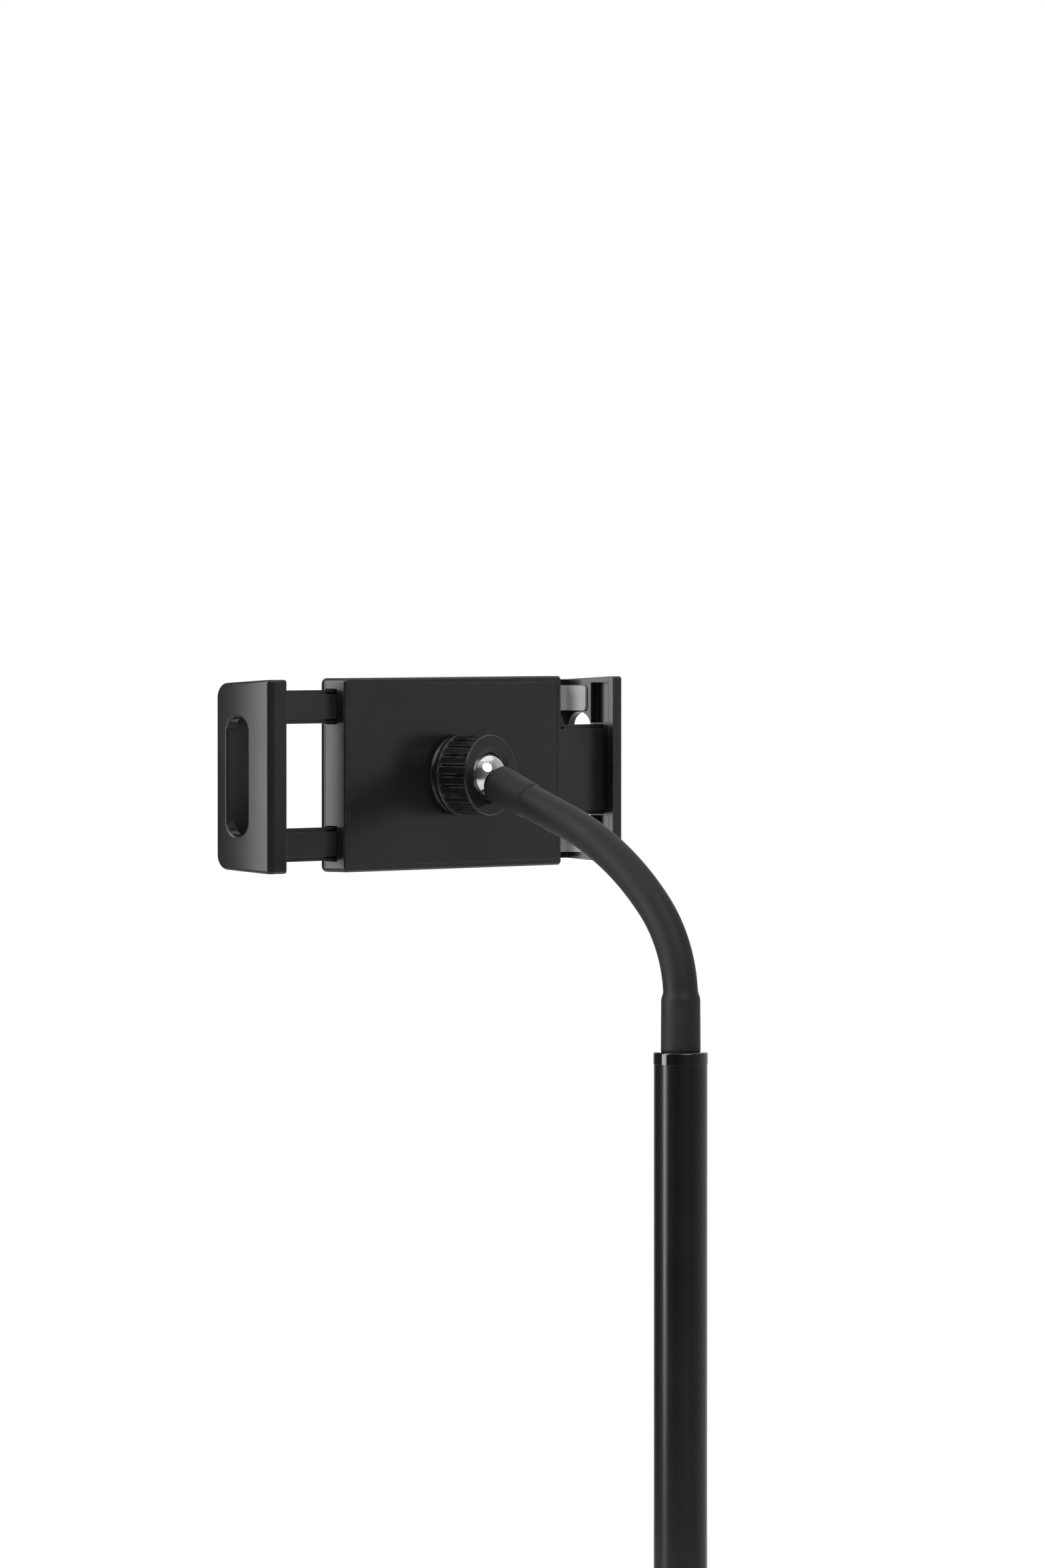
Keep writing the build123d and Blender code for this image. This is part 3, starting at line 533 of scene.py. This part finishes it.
# One finish for each material slot of the record
FINISHES = {
    "base_paint": finish_material(
        "powder_coat", grey(0.009), grey(0.013), rough=(0.4, 0.5), grain=(0.5, 40, 14),
        wear_and_highlight=(0.5, grey(0.06), 0.5), dust=0.07, specular=0.4, edge_round=0.5),
    "foot_foam": finish_material(
        "foam_rubber", grey(0.018), grey(0.035), rough=(0.85, 0.97), grain=(0.9, 9, 90),
        dust=0.3, specular=0.25),
    "zinc_steel": finish_material(
        "zinc_plate", (0.42, 0.42, 0.4), (0.56, 0.56, 0.57), rough=(0.28, 0.42),
        dust=0.05, metallic=1.0, brushed=0.15, edge_round=0.2),
    "core_steel": finish_material(
        "oiled_steel", grey(0.2), grey(0.34), rough=(0.3, 0.45),
        metallic=1.0, brushed=0.25, edge_round=0.2),
    "spring_steel": finish_material(
        "spring_wire", grey(0.4), grey(0.6), rough=(0.22, 0.35), grain=(0.2, 3, 4), metallic=1.0),
    "pole_paint": finish_material(
        "gloss_paint", grey(0.003), grey(0.004), rough=(0.18, 0.23), grain=(1.6, 60, 1.2),
        wear_and_highlight=(0.35, grey(0.05), 0.5), dust=0.03, specular=0.65, edge_round=0.2),
    "cap_gloss": finish_material(
        "gloss_cap", grey(0.0025), grey(0.0035), rough=(0.04, 0.08), grain=(1.2, 20, 0.5),
        wear_and_highlight=(0.25, grey(0.08), 0.6), dust=0.03, coat=(0.6, 0.05), edge_round=0.2),
    "sleeve_rubber": finish_material(
        "matte_rubber", grey(0.012), grey(0.0155), rough=(0.5, 0.6), grain=(0.35, 12, 10),
        dust=0.05, specular=0.3, sheen=0.015),
    "ball_chrome": finish_material(
        "bright_chrome", grey(0.76), grey(0.84), rough=(0.03, 0.07), grain=(0.5, 5, 0.4), metallic=1.0),
    "seat_plastic": finish_material(
        "natural_plastic", (0.5, 0.49, 0.45), (0.6, 0.59, 0.55), rough=(0.42, 0.55),
        dust=0.05, edge_round=0.2),
    # The nut's bright edge colour paints a highlight on its rims as well as rubbing.
    "nut_plastic": finish_material(
        "nut_plastic", grey(0.009), grey(0.012), rough=(0.2, 0.28), grain=(0.3, 10, 2),
        wear_and_highlight=(0.4, grey(0.34), 0.7), dust=0.04, edge_round=0.45),
    # The head's lighter edge colour paints the highlight along its edges as well as rubbing.
    "head_plastic": finish_material(
        "moulded_plastic", grey(0.007), grey(0.009), rough=(0.22, 0.27), grain=(0.22, 30, 2.0),
        wear_and_highlight=(0.35, grey(0.13), 0.8), dust=0.08, edge_round=0.35),
    "rail_plastic": finish_material(
        "smooth_plastic", grey(0.0115), grey(0.0145), rough=(0.28, 0.36), grain=(0.3, 18, 3),
        wear_and_highlight=(0.3, grey(0.09), 0.6), dust=0.08, edge_round=0.25),
    "grip_silicone": finish_material(
        "soft_silicone", grey(0.29), grey(0.34), rough=(0.5, 0.62), grain=(0.25, 8, 8),
        dust=0.12, specular=0.4, edge_round=0.3),
}


# The CAD nodes keep their shape and take the finish of their material slot

slot_of = {part["node"]: part["material_slot"] for part in frame["record"]["subparts"]}
for node_name, cad_object in frame["nodes"].items():
    for slot in cad_object.material_slots:
        slot.material = FINISHES[slot_of[node_name]]


# The pieces made here; the cuffs, the nut's rim, the border line and the foot sheet each go on the body that
# carries them, while the bend pieces and the spring coils stay where they are built, on no body

def add_piece(piece, slot):
    """Gives a new piece the finish of a material slot of the record."""
    piece.data.materials.append(FINISHES[slot])
    return piece


cuff = add_piece(lower_cuff(), "sleeve_rubber")
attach(cuff, "neck_base")
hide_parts("gooseneck_sleeve")
bend_pieces, straight_start, straight_direction = sleeve_over_joints()
for index, (piece, first, last) in enumerate(bend_pieces):
    add_piece(piece, "sleeve_rubber")
    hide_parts("gooseneck_sleeve")
    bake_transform(piece)
upper = add_piece(upper_sleeve(straight_start, straight_direction), "sleeve_rubber")
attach(upper, "neck_tip")
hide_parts("gooseneck_sleeve")

for spring_node, slider in (("right_spring_upper", "right_slider"), ("right_spring_lower", "right_slider"),
                            ("left_spring", "left_slider")):
    coil = add_piece(coil_spring(spring_node), "spring_steel")
    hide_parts(spring_node)
    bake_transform(coil)

rim = add_piece(nut_front_rim(), "nut_plastic")
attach(rim, "nut_body")

border = add_piece(cover_border_line(), "head_plastic")
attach(border, "head")

foot = add_piece(foot_sheet(), "foot_foam")
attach(foot, "root")
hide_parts("foot_pad")


# Floor, background and lamps

# The studio's brightness as gloss shows it, by compass direction in degrees from +X
STUDIO = [
    (-140, 1.0), (-118, 0.5), (-100, 0.06), (-75, 0.08), (-10, 0.12), (22, 0.05), (45, 0.11), (66, 0.17),
    (92, 0.16), (118, 0.28), (150, 0.48), (180, 0.7), (206, 1.0),
]
OVERHEAD = 0.6
FILL_LIGHT = 0.5

FLOOR_HALF = 8.0
FLOOR_COLOUR = 0.78
FLOOR_NEAR_GLOSS = 0.9
FLOOR_FAR_GLOW = 0.64

HEAD_CENTRE = Vector((0, -0.1, 0.41))

# Name, distance and direction from the head, width, height, brightness, outline
SOFTBOXES = [
    ("side_softbox", 1.5, (0.838, -0.545, 0.4), 0.75, 2.1, 5.5, "RECTANGLE"),
    ("front_softbox", 2.4, (0.26, 0.76, 0.61), 1.9, 1.9, 2.3, "ELLIPSE"),
    ("top_softbox", 1.7, (-0.2, -0.1, 0.97), 2.2, 2.2, 0.4, "ELLIPSE"),
]

VIEW_PLACE = Vector((2.3165, 1.8671, 0.4711))
VIEW_DIRECTION = Vector((-0.7668, -0.6415, -0.0211))
VIEW_LENS = 199
VIEW_SENSOR = 36


def background_light(tree, studio):
    """White for the camera and through glass, the studio's own brightness in gloss, else nothing."""
    path = tree.nodes.new("ShaderNodeLightPath").outputs
    direct = math_node(tree, "MAXIMUM", path["Is Camera Ray"], path["Is Transmission Ray"])
    return math_node(tree, "MAXIMUM", direct, math_node(tree, "MULTIPLY", path["Is Glossy Ray"], studio))


def unseen(tree):
    """1 for rays that only carry light on to other surfaces."""
    path = tree.nodes.new("ShaderNodeLightPath").outputs
    seen = math_node(tree, "MAXIMUM", path["Is Camera Ray"], path["Is Glossy Ray"])
    return math_node(tree, "SUBTRACT", 1.0, math_node(tree, "MAXIMUM", seen, path["Is Transmission Ray"]))


def studio_level(tree, direction):
    """The studio's brightness in a direction, from its compass bearing."""
    parts = node(tree, "ShaderNodeSeparateXYZ", {0: direction}).outputs
    bearing = math_node(tree, "ARCTAN2", parts[1], parts[0])
    ramp = node(tree, "ShaderNodeValToRGB", {0: spread(tree, bearing, -pi, pi)})
    stops = sorted((((angle + 180) % 360) / 360, value) for angle, value in STUDIO)
    while len(ramp.color_ramp.elements) < len(stops):
        ramp.color_ramp.elements.new(1.0)
    for stop, (place, value) in zip(ramp.color_ramp.elements, stops):
        stop.position = place
        stop.color = (value, value, value, 1)
    return node(tree, "ShaderNodeSeparateColor", {0: ramp.outputs[0]}).outputs[0]


def make_floor():
    """A plain pale floor that reads as white further out and keeps the soft shadow near the base."""
    mesh = bpy.data.meshes.new("floor")
    corners = [(-1, -1), (1, -1), (1, 1), (-1, 1)]
    mesh.from_pydata([(FLOOR_HALF * x, FLOOR_HALF * y, 0) for x, y in corners], [], [(0, 1, 2, 3)])
    floor = bpy.data.objects.new("floor", mesh)
    bpy.context.scene.collection.objects.link(floor)
    made = bpy.data.materials.new("pale_floor")
    made.use_nodes = True
    tree = made.node_tree
    tree.nodes.remove(tree.nodes["Principled BSDF"])
    place = tree.nodes.new("ShaderNodeNewGeometry").outputs["Position"]
    distance = node(tree, "ShaderNodeVectorMath", {0: place}, operation="LENGTH").outputs[1]
    near_gloss = spread(tree, distance, 0.5, 1.5, FLOOR_NEAR_GLOSS, 0.0)
    studio = math_node(tree, "MAXIMUM", studio_level(tree, place), near_gloss)
    in_gloss = tree.nodes.new("ShaderNodeLightPath").outputs["Is Glossy Ray"]
    dimmed = math_node(tree, "MULTIPLY", in_gloss, math_node(tree, "SUBTRACT", 1.0, studio))
    colour = math_node(tree, "MULTIPLY", FLOOR_COLOUR, math_node(tree, "SUBTRACT", 1.0, dimmed))
    matt = node(tree, "ShaderNodeBsdfDiffuse", {"Color": colour})
    makeup = spread(tree, distance, 0.35, 1.8, 0.0, FLOOR_FAR_GLOW)
    glow = math_node(tree, "MULTIPLY", background_light(tree, studio), makeup)
    lit = node(tree, "ShaderNodeEmission", {"Strength": glow})
    both = node(tree, "ShaderNodeAddShader", {0: matt.outputs[0], 1: lit.outputs[0]})
    tree.links.new(both.outputs[0], tree.nodes["Material Output"].inputs["Surface"])
    mesh.materials.append(made)


def make_world():
    """White behind the object as the camera sees it, the dim studio in gloss, and a soft fill."""
    world = bpy.data.worlds.new("studio")
    world.use_nodes = True
    tree = world.node_tree
    background = tree.nodes["Background"]
    direction = tree.nodes.new("ShaderNodeTexCoord").outputs["Generated"]
    height = node(tree, "ShaderNodeSeparateXYZ", {0: direction}).outputs[2]
    overhead = spread(tree, height, 0.45, 0.9, 0.0, OVERHEAD)
    studio = math_node(tree, "MAXIMUM", studio_level(tree, direction), overhead)
    fill = math_node(tree, "MULTIPLY", unseen(tree), FILL_LIGHT)
    strength = math_node(tree, "ADD", background_light(tree, studio), fill)
    tree.links.new(strength, background.inputs["Strength"])
    background.inputs["Color"].default_value = (1, 1, 1, 1)
    bpy.context.scene.world = world


def softbox(name, distance, direction, width, height, radiance, shape):
    """An area lamp of a given brightness that looks at the head."""
    lamp = bpy.data.lights.new(name, "AREA")
    lamp.shape = shape
    lamp.size = width
    lamp.size_y = height
    fullness = 1.0 if shape == "RECTANGLE" else pi / 4
    lamp.energy = radiance * pi * width * height * fullness
    holder = bpy.data.objects.new(name, lamp)
    offset = distance * Vector(direction)
    holder.location = HEAD_CENTRE + offset
    holder.rotation_euler = (-offset).to_track_quat("-Z", "Y").to_euler()
    bpy.context.scene.collection.objects.link(holder)


def make_camera():
    """The camera at the photograph's viewing angle."""
    eye = bpy.data.cameras.new("photo_view")
    eye.sensor_fit = "VERTICAL"
    eye.sensor_height = VIEW_SENSOR
    eye.lens = VIEW_LENS
    holder = bpy.data.objects.new("photo_view", eye)
    holder.location = VIEW_PLACE
    holder.rotation_euler = VIEW_DIRECTION.to_track_quat("-Z", "Y").to_euler()
    bpy.context.scene.collection.objects.link(holder)
    bpy.context.scene.camera = holder


make_floor()
make_world()
for lamp_values in SOFTBOXES:
    softbox(*lamp_values)
make_camera()
bpy.context.scene.view_settings.view_transform = "Standard"
